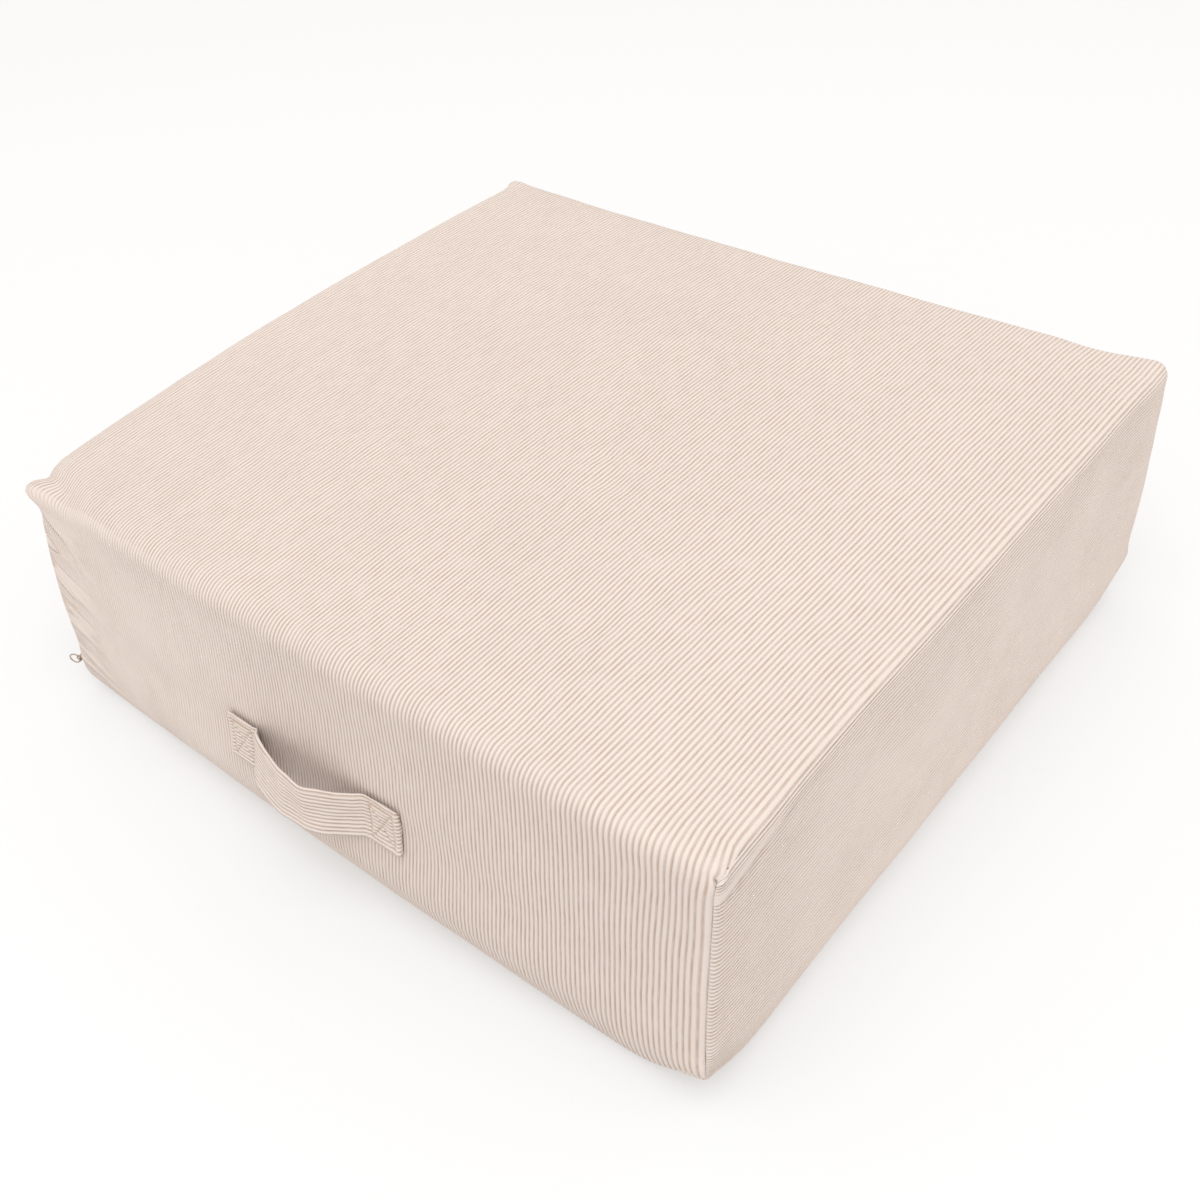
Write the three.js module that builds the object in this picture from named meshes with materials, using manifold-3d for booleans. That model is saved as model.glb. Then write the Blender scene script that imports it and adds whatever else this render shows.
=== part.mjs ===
// A jumping cushion: a thick, nearly square foam block in a wide-wale corduroy cover, with a folded
// corduroy strap as its handle and a zip whose slider ends at one corner.
// Millimetres, +Z up. The origin is the middle of the flat base. The handle is on the -Y side.
import * as THREE from "three";
import { mergeVertices } from "three/addons/utils/BufferGeometryUtils.js";
import Module from "manifold-3d";

// The filled body.
const LENGTH = 600; // along X
const DEPTH = 565; // along Y
const HEIGHT = 210;
const SEAM_ROUND = 8; // plan radius of the upright corners
const EDGE_ROUND = 16; // how far in from the edges the top's roll is modelled
const TOP_ROLL = 13; // height of the roll between a side and the top
const BASE_ROLL = 36; // height of the roll between a side and the base
const CROWN = 5; // rise of the middle of the top
const HALF_X = LENGTH / 2;
const HALF_Y = DEPTH / 2;

// How far the middle of each side swells past its corners, at each height.
const SWELL = [
  { z: 0, front: 3.1, back: 1, left: 1, right: -4.2 },
  { z: 45, front: 15.1, back: 4, left: 4, right: 5.6 },
  { z: 105, front: 6, back: 4, left: 4, right: 4 },
  { z: 165, front: 2.9, back: 2, left: 2, right: 2.2 },
  { z: 210, front: 1.8, back: 1, left: 1, right: 1 },
];

// How far the top edge rises in the middle of the left side and of the back.
const EDGE_RISE = { left: 8.7, back: -5.3 };

// The corners, each with where it lies. `round` is its plan radius on top, `move` leans the whole
// upright corner, `rise` lifts that quarter of the top. `ear` pulls the stuffed point of the corner,
// `reach` is the plan size of that point and `dip` the hollow behind it. `belly` and `shoulder` move
// the seam's middle and its upper end, `lift` and `spread` shape its foot.
const CORNERS = [
  {
    x: -1,
    y: -1,
    round: 20,
    move: [2.5, 4.3],
    rise: -8.5,
    ear: [-32, -5.2, -10.1],
    reach: [27.8, 9.3],
    dip: 6.6,
    belly: [2, -4.7],
    shoulder: [2, 5.5],
    lift: 9.8,
    spread: 3.7,
  },
  {
    x: -1,
    y: 1,
    round: 14,
    move: [-4.3, -12.2],
    rise: 9.7,
    ear: [-8, -2.6, 5],
    reach: [12.8, 14],
    dip: 0,
    belly: [0, 0],
    shoulder: [0, 0],
    lift: 10,
    spread: 0,
  },
  {
    x: 1,
    y: 1,
    round: 16,
    move: [-2.6, 10.9],
    rise: 4.1,
    ear: [1.9, -0.2, 3],
    reach: [31.3, 17.3],
    dip: 1.3,
    belly: [1.1, 1.6],
    shoulder: [1.2, -2.9],
    lift: 28,
    spread: 2.7,
  },
  {
    x: 1,
    y: -1,
    round: 8,
    move: [2.9, 1.3],
    rise: -0.7,
    ear: [1.5, 1.5, -1.1],
    reach: [33, 33],
    dip: 1.5,
    belly: [-0.9, -0.5],
    shoulder: [2.6, 2.8],
    lift: 28,
    spread: 2.6,
  },
];
const EAR_TALL = 22; // how far down the corner an ear stands out
const EAR_DEPTH = 80; // how far down the side an ear's lift is felt
const FOOT = 60; // height of the foot of a corner
const FOOT_REACH = 33; // plan size of a foot
const SHOULDER_REACH = 80; // plan size of a shoulder
const BELLY_HEIGHT = 110; // height of the middle of a seam
const BELLY_SPAN = 90; // how far above and below that a belly is felt

// The strap, from one sewn end to the other. Each row: x of the strap, how far it stands off the
// front, the height of its middle, and how far its top edge leans out.
const STRAP = [
  { x: -81, off: 0, z: 93.5, lean: 0 },
  { x: -57, off: 0, z: 93.5, lean: 0 },
  { x: -43, off: 9, z: 99.3, lean: -2.7 },
  { x: -21, off: 16.5, z: 100.5, lean: -2 },
  { x: -2, off: 20.5, z: 101, lean: -1.2 },
  { x: 13, off: 20.5, z: 99.8, lean: 0.3 },
  { x: 25, off: 15.8, z: 99, lean: -0.6 },
  { x: 34, off: 9.4, z: 97.6, lean: 0.6 },
  { x: 43, off: 3.6, z: 97.3, lean: 0.8 },
  { x: 53, off: 0, z: 98.2, lean: 0 },
  { x: 78, off: 0, z: 98.2, lean: 0 },
];
const STRAP_WIDTH = 38;
const STRAP_THICK = 2.6; // two layers of corduroy
const END_THICK = 3.8; // sewn down flat, where an end is turned under
const END_LENGTH = 27;
const STRAP_GAP = 0.4; // between its sewn ends and the front

// The zip, which runs low along the left side and stops at the front left corner.
const ZIP_HEIGHT = 17; // on the sharp box that the body is shaped from
const ZIP_WIDTH = 10.5;
const ZIP_THICK = 0.9;
const ZIP_GAP = 0.42; // between the tape and the rolled corner it bends round
const ZIP_END = 45; // how far short of the back it stops
const SLIDER_ALONG = 3.6; // how far from the corner's own line its slider stops
const SLIDER_LENGTH = 6.6;
const SLIDER_WIDTH = 4.6;
const SLIDER_THICK = 1.3;
const SLIDER_LEAN = 0.15; // how far its foot clears the sloping tape
const BAIL_REACH = 2.3; // half its length
const BAIL_RISE = 3.35;
const BAIL_WIRE = 0.5;
const RING_LENGTH = 8.2; // the pull is a loop of wire, narrower where it hangs from the bail
const RING_WIDTH = 9.6;
const RING_WIRE = 0.55;
const RING_PLAY = 0.36; // between it and the bail
const RING_DROOP = 36; // degrees down from straight out
const BAIL_FOOT = SLIDER_THICK - 0.6; // where the bail springs from the slider
const GAP = 0.3; // between pieces that touch

const CORDUROY = new THREE.MeshStandardMaterial({
  color: 0xe6d8cb,
  roughness: 0.95,
  metalness: 0,
});
const TAPE = new THREE.MeshStandardMaterial({
  color: 0xd9c8b8,
  roughness: 0.8,
  metalness: 0,
});
const METAL = new THREE.MeshStandardMaterial({
  color: 0xa39484,
  roughness: 0.35,
  metalness: 1,
});

const smooth = (t) => t * t * (3 - 2 * t);
const clamp = (t, low, high) => Math.min(Math.max(t, low), high);
const ramp = (t) => smooth(clamp(t, 0, 1));

// The two rows of a table on either side of a value of one of its columns, and the share between.
function between(table, column, value) {
  const next = table.findIndex((row) => row[column] >= value);
  const at = clamp(next < 0 ? table.length - 1 : next, 1, table.length - 1);
  const [from, to] = [table[at - 1], table[at]];
  return { from, to, t: clamp((value - from[column]) / (to[column] - from[column]), 0, 1) };
}

// A column of a table at a value of another of its columns.
function lookUp(table, column, value, name) {
  const { from, to, t } = between(table, column, value);
  return THREE.MathUtils.lerp(from[name], to[name], smooth(t));
}

// How much of a corner there is in a point's place in plan.
function shareOf(corner, { x, y }) {
  return ((1 + (corner.x * x) / HALF_X) / 2) * ((1 + (corner.y * y) / HALF_Y) / 2);
}

// A point of the sharp box, brought onto the box with its edges and corners rolled.
function rolled(point) {
  const top = CORNERS.reduce((sum, corner) => sum + corner.round * shareOf(corner, point), 0);
  const high = ramp((point.z - HEIGHT + 35) / 35);
  const radius = SEAM_ROUND + (top - SEAM_ROUND) * high;
  const roll = point.z < HEIGHT / 2 ? BASE_ROLL : TOP_ROLL;
  const radii = new THREE.Vector3(radius, radius, roll);
  const core = new THREE.Vector3(
    clamp(point.x, radius - HALF_X, HALF_X - radius),
    clamp(point.y, radius - HALF_Y, HALF_Y - radius),
    clamp(point.z, BASE_ROLL, HEIGHT - TOP_ROLL),
  );
  const reach = point.clone().sub(core).divide(radii);
  if (reach.length() > 0) reach.normalize();
  return core.add(reach.multiply(radii));
}

// How the four sides swell, and how the crown and the top edges rise, at a point of the rolled box.
function fill({ x, y, z }) {
  const [u, v] = [x / HALF_X, y / HALF_Y];
  const [midX, midY] = [Math.max(1 - u ** 2, 0), Math.max(1 - v ** 2, 0)];
  const sideways = Math.sign(u) * Math.min(Math.abs(u), 1) ** 4;
  const inwards = Math.sign(v) * Math.min(Math.abs(v), 1) ** 4;
  const alongX = lookUp(SWELL, "z", z, u > 0 ? "right" : "left");
  const alongY = lookUp(SWELL, "z", z, v > 0 ? "back" : "front");
  const left = EDGE_RISE.left * Math.max(-u, 0) ** 2 * midY;
  const back = EDGE_RISE.back * Math.max(v, 0) ** 2 * midX;
  const rise = (CROWN * midX * midY + left + back) * ramp((z / HEIGHT - 0.4) / 0.6);
  return new THREE.Vector3(sideways * alongX * midY, inwards * alongY * midX, rise);
}

// What one corner does to a point of the rolled box.
function pullOf(corner, { x, y, z }) {
  const share = shareOf(corner, { x, y });
  const [fromX, fromY] = [x - corner.x * HALF_X, y - corner.y * HALF_Y];
  const plan = Math.hypot(fromX, fromY);
  const away = Math.hypot(fromX / corner.reach[0], fromY / corner.reach[1]);
  const near = Math.max(Math.exp(-(away ** 2)) - 0.002, 0);
  const around = Math.exp(-((away - 1.7) ** 2) * 2.2);
  const ear = ramp((z - HEIGHT + EAR_TALL) / EAR_TALL) * near;
  const hold = ramp((z - HEIGHT + EAR_DEPTH) / EAR_DEPTH);
  const belly = Math.max(1 - ((z - BELLY_HEIGHT) / BELLY_SPAN) ** 2, 0) ** 2 * share;
  const shoulder = ramp((z - 15) / 180) * Math.exp(-((plan / SHOULDER_REACH) ** 2));
  const under = Math.max(Math.exp(-((plan / FOOT_REACH) ** 2)) - 0.002, 0);
  const foot = ramp((FOOT - z) / FOOT) * under;
  const sideways = (axis) =>
    corner.move[axis] * share +
    corner.ear[axis] * ear +
    corner.belly[axis] * belly +
    corner.shoulder[axis] * shoulder;
  const rise = corner.rise * share * ramp(z / HEIGHT) + corner.lift * foot;
  return new THREE.Vector3(
    sideways(0) + corner.x * corner.spread * foot,
    sideways(1) + corner.y * corner.spread * foot,
    rise + (corner.ear[2] * near - corner.dip * around) * hold,
  );
}

// A point of the sharp box, moved to where the stuffed cover holds it.
function stuffed(point) {
  const on = rolled(point);
  const moved = on.clone().add(fill(on));
  for (const corner of CORNERS) moved.add(pullOf(corner, on));
  return moved;
}

// A grid line's place along one side: `rolls` of its steps are spent on the roll at each end.
function gridLine(index, steps, length, startRoll, endRoll, rolls) {
  if (index <= rolls) return (startRoll * index) / rolls;
  if (index >= steps - rolls) return length - (endRoll * (steps - index)) / rolls;
  const middle = (index - rolls) / (steps - 2 * rolls);
  return startRoll + middle * (length - startRoll - endRoll);
}

function makeCushion() {
  const steps = { x: 30, y: 28, z: 16 };
  const rolls = 4;
  const box = new THREE.BoxGeometry(1, 1, 1, steps.x, steps.y, steps.z);
  const place = box.getAttribute("position");
  for (let i = 0; i < place.count; i++) {
    const line = (value, count) => Math.round((value + 0.5) * count);
    const ix = line(place.getX(i), steps.x);
    const iy = line(place.getY(i), steps.y);
    const iz = line(place.getZ(i), steps.z);
    const point = new THREE.Vector3(
      gridLine(ix, steps.x, LENGTH, EDGE_ROUND, EDGE_ROUND, rolls) - HALF_X,
      gridLine(iy, steps.y, DEPTH, EDGE_ROUND, EDGE_ROUND, rolls) - HALF_Y,
      gridLine(iz, steps.z, HEIGHT, BASE_ROLL, TOP_ROLL, rolls),
    );
    const at = stuffed(point);
    place.setXYZ(i, at.x, at.y, at.z);
  }
  return box;
}

// The strap at a place along the front: a smooth curve through the rows of STRAP.
function strapAt(x) {
  const slope = (row, name) => {
    const at = STRAP.indexOf(row);
    const [before, after] = [STRAP[at - 1], STRAP[at + 1]];
    if (!before || !after) return 0;
    const [fall, rise] = [row[name] - before[name], after[name] - row[name]];
    return fall * rise > 0 ? (fall + rise) / (after.x - before.x) : 0;
  };
  const { from, to, t } = between(STRAP, "x", x);
  const wide = to.x - from.x;
  const curve = (name) => {
    const ease = smooth(t);
    const start = slope(from, name) * wide * t * (1 - t) ** 2;
    const end = slope(to, name) * wide * t ** 2 * (1 - t);
    return from[name] * (1 - ease) + to[name] * ease + start - end;
  };
  return { off: curve("off"), z: curve("z"), lean: curve("lean") };
}

function makeHandle() {
  const alongSteps = 56;
  const acrossSteps = 4;
  const first = STRAP[0].x;
  const last = STRAP[STRAP.length - 1].x;
  const box = new THREE.BoxGeometry(last - first, 1, STRAP_WIDTH, alongSteps, 1, acrossSteps);
  const place = box.getAttribute("position");
  for (let i = 0; i < place.count; i++) {
    const x = place.getX(i) + (first + last) / 2;
    const row = strapAt(x);
    const up = place.getZ(i);
    const z = row.z + up;
    const fromEnd = Math.min(x - first, last - x);
    const thick = fromEnd < END_LENGTH ? END_THICK : STRAP_THICK;
    const settle = 1 - ramp((fromEnd - END_LENGTH) / 12);
    const seat = (END_THICK - thick) * (1 - settle);
    const stand = STRAP_GAP + row.off + (row.lean * up * 2) / STRAP_WIDTH + seat * 0.5;
    const outer = place.getY(i) < 0;
    const face = stuffed(new THREE.Vector3(x, -HALF_Y, z));
    place.setXYZ(i, x, face.y - stand - (outer ? thick : 0), z);
  }
  return box;
}

// A place on the left side, `along` mm from the front corner's line and `rise` mm over the zip,
// with the way out of the cloth there.
function zipSeat(along, rise) {
  const side = (y, z) => stuffed(new THREE.Vector3(-HALF_X, y, z));
  const [y, z] = [-HALF_Y + along, ZIP_HEIGHT + rise];
  const seat = side(y, z);
  const alongY = side(y + 0.5, z).sub(side(y - 0.5, z));
  const alongZ = side(y, z + 0.5).sub(side(y, z - 0.5));
  return { seat, away: alongZ.cross(alongY).normalize() };
}

function makeZipChain() {
  const length = DEPTH - ZIP_END;
  const box = new THREE.BoxGeometry(length, 1, ZIP_WIDTH, 64, 1, 2);
  const place = box.getAttribute("position");
  for (let i = 0; i < place.count; i++) {
    const share = place.getX(i) / length + 0.5;
    const along = share ** 1.6 * length;
    const { seat, away } = zipSeat(along, place.getZ(i));
    seat.addScaledVector(away, ZIP_GAP + (place.getY(i) > 0 ? ZIP_THICK : 0));
    place.setXYZ(i, seat.x, seat.y, seat.z);
  }
  return box;
}

const wasm = await Module();
wasm.setup();

// A closed geometry as a solid that can be joined or cut.
function solidOf(geometry, matrix) {
  const bare = geometry.index ? geometry.toNonIndexed() : geometry.clone();
  bare.applyMatrix4(matrix);
  bare.deleteAttribute("normal");
  bare.deleteAttribute("uv");
  const merged = mergeVertices(bare, 1e-4);
  return new wasm.Manifold(
    new wasm.Mesh({
      numProp: 3,
      vertProperties: new Float32Array(merged.getAttribute("position").array),
      triVerts: new Uint32Array(merged.index.array),
    }),
  );
}

function geometryOf(solid) {
  const mesh = solid.getMesh();
  return new THREE.BufferGeometry()
    .setAttribute("position", new THREE.BufferAttribute(mesh.vertProperties, 3))
    .setIndex(new THREE.BufferAttribute(mesh.triVerts, 1));
}

// The slider's frame: its X runs along the zip, its Y out of the cloth and its Z up.
function sliderFrame() {
  const { seat, away } = zipSeat(SLIDER_ALONG, 0);
  const out = away.clone().setZ(0).normalize();
  const up = new THREE.Vector3(0, 0, 1);
  const along = new THREE.Vector3().crossVectors(out, up);
  const base = seat.addScaledVector(away, ZIP_GAP + ZIP_THICK + GAP + SLIDER_LEAN);
  return new THREE.Matrix4().makeBasis(along, out, up).setPosition(base);
}

// The slider: a shield-shaped plate with a wire bail that holds the pull.
function makeZipSlider() {
  const nose = SLIDER_LENGTH / 2;
  const side = SLIDER_WIDTH / 2;
  const shield = new THREE.Shape()
    .moveTo(-nose, -side * 0.6)
    .lineTo(nose * 0.3, -side)
    .quadraticCurveTo(nose, -side, nose, 0)
    .quadraticCurveTo(nose, side, nose * 0.3, side)
    .lineTo(-nose, side * 0.6)
    .closePath();
  const plate = new THREE.ExtrudeGeometry(shield, {
    depth: SLIDER_THICK - 0.8,
    bevelThickness: 0.4,
    bevelSize: 0.35,
    bevelSegments: 2,
    curveSegments: 6,
  });
  plate.rotateX(-Math.PI / 2);
  plate.translate(0, 0.4, 0);
  const bow = new THREE.CatmullRomCurve3(
    [-1, -0.9, -0.5, 0, 0.5, 0.9, 1].map((share) => {
      const rise = Math.sqrt(Math.max(1 - share ** 2, 0)) * BAIL_RISE;
      return new THREE.Vector3(share * BAIL_REACH, BAIL_FOOT + rise, 0);
    }),
  );
  const wire = new THREE.Shape().absarc(0, 0, BAIL_WIRE, 0, Math.PI * 2);
  const bail = new THREE.ExtrudeGeometry(wire, {
    steps: 16,
    extrudePath: bow,
    curveSegments: 5,
    bevelEnabled: false,
  });
  const frame = sliderFrame();
  return geometryOf(solidOf(plate, frame).add(solidOf(bail, frame)));
}

// The pull: one loop of wire through the bail, hanging out and down from it.
function makeZipPull() {
  const clear = BAIL_WIRE + RING_WIRE + RING_PLAY;
  const turns = Array.from({ length: 16 }, (_, i) => (i / 16) * Math.PI * 2);
  const loop = new THREE.CatmullRomCurve3(
    turns.map((turn) => {
      const out = (1 - Math.cos(turn)) / 2;
      const half = (RING_WIDTH / 2) * (0.72 + 0.28 * out);
      return new THREE.Vector3(0, out * RING_LENGTH, Math.sin(turn) * half);
    }),
    true,
  );
  const ring = new THREE.TubeGeometry(loop, 44, RING_WIRE, 10, true);
  ring.translate(0, -clear, 0);
  ring.rotateX(THREE.MathUtils.degToRad(-RING_DROOP));
  ring.translate(0, BAIL_FOOT + BAIL_RISE, 0);
  ring.applyMatrix4(sliderFrame());
  return ring;
}

const pieces = [
  ["cushion", makeCushion(), CORDUROY],
  ["handle", makeHandle(), CORDUROY],
  ["zip_chain", makeZipChain(), TAPE],
  ["zip_slider", makeZipSlider(), METAL],
  ["zip_pull", makeZipPull(), METAL],
];

const jumpingCushion = new THREE.Group();
for (const [name, geometry, material] of pieces) {
  const mesh = new THREE.Mesh(geometry, material);
  mesh.name = name;
  jumpingCushion.add(mesh);
}

export default jumpingCushion;
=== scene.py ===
"""A jumping cushion: a thick foam block in a corduroy cover, with a strap handle and a zip.

The cover is one cross of corduroy, so its wales run over the front and back edges, and it is sewn
down the four upright corners. Lengths in the tables are millimetres.
"""

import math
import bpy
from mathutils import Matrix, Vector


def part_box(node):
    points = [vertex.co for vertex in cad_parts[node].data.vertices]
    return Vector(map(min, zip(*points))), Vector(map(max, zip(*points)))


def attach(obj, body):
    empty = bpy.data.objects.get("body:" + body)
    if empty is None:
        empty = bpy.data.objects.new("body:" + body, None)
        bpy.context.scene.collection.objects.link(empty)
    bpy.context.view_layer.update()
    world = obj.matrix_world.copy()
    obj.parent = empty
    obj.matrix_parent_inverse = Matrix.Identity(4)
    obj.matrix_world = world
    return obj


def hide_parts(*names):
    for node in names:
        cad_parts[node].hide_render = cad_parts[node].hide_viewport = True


bl_info = {
    "name": "Jumping Cushion",
    "version": (1, 0, 0),
    "blender": (4, 5, 0),
    "location": "3D Viewport > Sidebar > Cushion",
    "description": "Makes a jumping cushion in a corduroy cover, with its handle, zip and studio",
    "category": "Add Mesh",
}

import bmesh
import bpy
import numpy as np
from bpy.props import FloatProperty, FloatVectorProperty, PointerProperty
from mathutils import Matrix, Vector

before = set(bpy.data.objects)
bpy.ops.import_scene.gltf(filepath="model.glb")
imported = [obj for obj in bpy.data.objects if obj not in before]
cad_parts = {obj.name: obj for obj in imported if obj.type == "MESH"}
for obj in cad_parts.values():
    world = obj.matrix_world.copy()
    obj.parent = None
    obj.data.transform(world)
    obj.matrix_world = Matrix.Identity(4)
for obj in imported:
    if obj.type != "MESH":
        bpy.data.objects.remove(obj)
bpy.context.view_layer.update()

# In metres: one millimetre, how low the cloth may lie, and how far the cover may be off its solid.
MM = 0.001
LOWEST = 0.0003
SOLID_MATCH = 0.004

# The filled body, on the sharp box that it is shaped from. A corner seam's rounding grows above
# SHARP_TO, up to EDGE_ROUND in the middle of an edge.
HALF_X = 300.0
HALF_Y = 282.5
HEIGHT = 210.0
SEAM_ROUND = 8.0
EDGE_ROUND = 14.5
SHARP_TO = 175.0
TOP_ROLL = 13.0
BASE_ROLL = 36.0
CROWN = 5.0

# How far the middle of each side swells past its corners, at each of these heights.
SWELL_AT = np.array([0.0, 45.0, 105.0, 165.0, 210.0])
SWELL = {
    "front": np.array([3.1, 15.1, 6.0, 2.9, 1.8]),
    "back": np.array([1.0, 4.0, 4.0, 2.0, 1.0]),
    "left": np.array([1.0, 4.0, 4.0, 2.0, 1.0]),
    "right": np.array([-4.2, 5.6, 4.0, 2.2, 1.0]),
}
LEFT_RISE = 8.7
BACK_RISE = -5.3

# Each corner: its side on X and Y, its radius on top and how it leans; how its quarter of the top
# rises; how its ear is pulled, how far that reaches, and the dip behind it; how its seam bellies
# and shoulders out; and how its foot lifts and spreads.
CORNERS = [
    {
        "x": -1, "y": -1, "round": 20.0, "move": (2.5, 4.3), "rise": -8.5,
        "ear": (-32.0, -5.2, -10.1), "reach": (27.8, 9.3), "dip": 6.6,
        "belly": (2.0, -4.7), "shoulder": (2.0, 5.5), "lift": 9.8, "spread": 3.7,
    },
    {
        "x": -1, "y": 1, "round": 14.0, "move": (-4.3, -12.2), "rise": 9.7,
        "ear": (-8.0, -2.6, 5.0), "reach": (12.8, 14.0), "dip": 0.0,
        "belly": (0.0, 0.0), "shoulder": (0.0, 0.0), "lift": 10.0, "spread": 0.0,
    },
    {
        "x": 1, "y": 1, "round": 12.5, "move": (-2.6, 10.9), "rise": 4.1,
        "ear": (1.9, -0.2, 3.0), "reach": (31.3, 17.3), "dip": 1.3,
        "belly": (1.1, 1.6), "shoulder": (1.2, -2.9), "lift": 28.0, "spread": 2.7,
    },
    {
        "x": 1, "y": -1, "round": 8.0, "move": (2.9, 1.3), "rise": -0.7,
        "ear": (1.5, 1.5, -1.1), "reach": (33.0, 33.0), "dip": 1.5,
        "belly": (-0.9, -0.5), "shoulder": (2.6, 2.8), "lift": 28.0, "spread": 2.6,
    },
]
EAR_TALL = 22.0
EAR_DEPTH = 80.0
FOOT = 60.0
FOOT_REACH = 33.0
SHOULDER_REACH = 80.0

# The corduroy: its wales across the top, down each side, and where one wale is sampled.
TOP_WALES = 193
SIDE_WALES = 68
SIDE_PITCH = 3.28
BASE_PITCH = 3.3
WALE_AT = (0.0, 0.17, 0.5, 0.83)
WALE_RISE = (-0.6, 0.24, 0.42, 0.24)
FIRST_COLUMN = SIDE_WALES * len(WALE_AT)
LAST_COLUMN = (SIDE_WALES + TOP_WALES) * len(WALE_AT)

# Smooth random unevenness, as (rise, size of its hills, seed): the wales' wander over the cloth,
# how their grooves are worn, and the waves in the stuffed surface.
WANDER = ((0.75, 46, 3), (0.35, 24, 4))
WORN = ((0.18, 34, 31), (0.14, 13, 32))
WAVES = ((0.55, 95, 11), (0.3, 38, 12), (0.16, 17, 13))

# At the corner seams: how far the last wales of the front spread and from how far off, how far the
# wales of the sides climb and over what distance, how much of a side gathers, the gap between the
# panels, how deep the seam lies and over what distance, and the distance given where no seam is.
SPREAD, SPREAD_REACH = 8.5, 110.0
CLIMB = ((3.8, 7.5), (2.4, 24.0))
GATHER = 5.0
SEAM_GAP = 0.25
SEAM_DEPTH = ((0.25, 0.9), (0.15, 5.0))
NO_SEAM = 99.0

# The strap, from one sewn end to the other: place along the front, stand-off, height and lean.
STRAP = np.array(
    [
        (-81, 0, 93.5, 0),
        (-57, 0, 93.5, 0),
        (-43, 9, 99.3, -2.7),
        (-21, 16.5, 100.5, -2),
        (-2, 20.5, 101, -1.2),
        (13, 20.5, 99.8, 0.3),
        (25, 15.8, 99, -0.6),
        (34, 9.4, 97.6, 0.6),
        (43, 3.6, 97.3, 0.8),
        (53, 0, 98.2, 0),
        (78, 0, 98.2, 0),
    ],
    float,
)
STRAP_WIDTH = 38.0
STRAP_WALES = 11

# The zip, low along the left side, from the front left corner.
ZIP_HEIGHT = 17.0
ZIP_WIDTH = 10.5
ZIP_LENGTH = 520.0
ZIP_SEAT = 0.5

# The smooth gusset on the right side by the front corner: its upper and lower edge below the fold,
# at the seam and how fast they draw in along the side.
GUSSET_TOP = (12.0, -0.15)
GUSSET_FOOT = (22.0, -0.2)
GUSSET_LENGTH = 62.0

# The pinched folds under the gusset: how far below it, and how strong.
PINCHES = ((1.0, 1.0), (4.2, 0.75), (7.6, 0.5))

# The knot where the seam starts: where each of its lumps lies past the corner, its rise and size.
KNOTS = (
    (-1.5, 3.5, 1.5, 2.4),
    (2.5, 6.0, 1.3, 2.2),
    (5.5, 3.0, 1.1, 2.0),
    (-6.0, 2.0, 0.8, 2.2),
    (0.6, -1.2, -1.6, 1.6),
)


def ramp(t):
    """An eased step from 0 to 1."""
    t = np.clip(t, 0.0, 1.0)
    return t * t * (3.0 - 2.0 * t)


def swell_of(side, z):
    """How far the middle of a side stands out at these heights."""
    at = np.clip(np.searchsorted(SWELL_AT, z), 1, len(SWELL_AT) - 1)
    share = ramp((z - SWELL_AT[at - 1]) / (SWELL_AT[at] - SWELL_AT[at - 1]))
    return SWELL[side][at - 1] * (1 - share) + SWELL[side][at] * share


def corner_shares(x, y):
    """How much of each corner there is in points of the plan."""
    u, v = x / HALF_X, y / HALF_Y
    return [(1 + corner["x"] * u) / 2 * (1 + corner["y"] * v) / 2 for corner in CORNERS]


def rounding(most, z):
    """How far the upright edges are rounded at these heights, up to the most at the top."""
    return SEAM_ROUND + (most - SEAM_ROUND) * ramp((z - SHARP_TO) / (HEIGHT - SHARP_TO))


def pushed(at, core, radii):
    """Points brought onto the rounded surface that stands out round a core."""
    reach = (at - core) / radii
    return core + reach / np.maximum(np.linalg.norm(reach, axis=-1, keepdims=True), 1e-9) * radii


def rolled(x, y, z):
    """Points of the sharp box, brought onto the box with its edges and corners rolled."""
    top = sum(share * corner["round"] for share, corner in zip(corner_shares(x, y), CORNERS))
    radius = rounding(top, z)
    core = [
        np.clip(x, radius - HALF_X, HALF_X - radius),
        np.clip(y, radius - HALF_Y, HALF_Y - radius),
        np.clip(z, BASE_ROLL, HEIGHT - TOP_ROLL),
    ]
    radii = [radius, radius, np.where(z < HEIGHT / 2, BASE_ROLL, TOP_ROLL)]
    return pushed(np.stack([x, y, z], -1), np.stack(core, -1), np.stack(radii, -1))


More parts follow.
